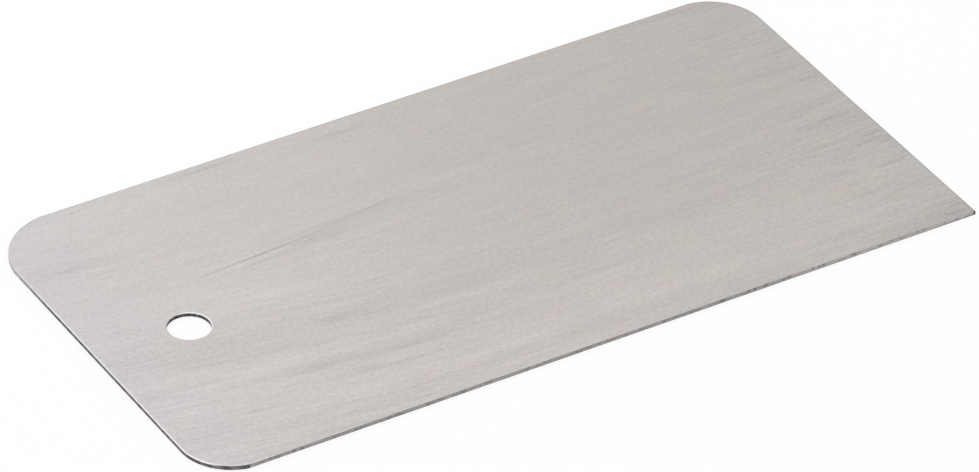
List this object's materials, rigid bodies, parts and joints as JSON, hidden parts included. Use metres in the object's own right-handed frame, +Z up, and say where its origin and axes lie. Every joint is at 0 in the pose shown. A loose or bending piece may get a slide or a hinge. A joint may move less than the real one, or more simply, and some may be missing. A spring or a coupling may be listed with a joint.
{
  "type": "ski scraper",
  "caption": "Flat rectangular spring steel plate with rounded corners, a square corner, ground long edges and a hanging hole, for scraping wax and flattening ski bases by hand.",
  "frame": {"origin": "middle of the underside, on the surface that the scraper lies on", "axes": "+X along the long sides, from the hanging hole's end to the square corner's end; +Y across the sheet, away from the long side that the square corner is on; +Z up through the sheet"},
  "size_m": [0.12, 0.062, 0.0006],
  "materials": {
    "spring_steel": "bare steel, brushed along the long sides"
  },
  "bodies": {
    "root": {"scraper_blade": "spring_steel"}
  },
  "joints": []
}
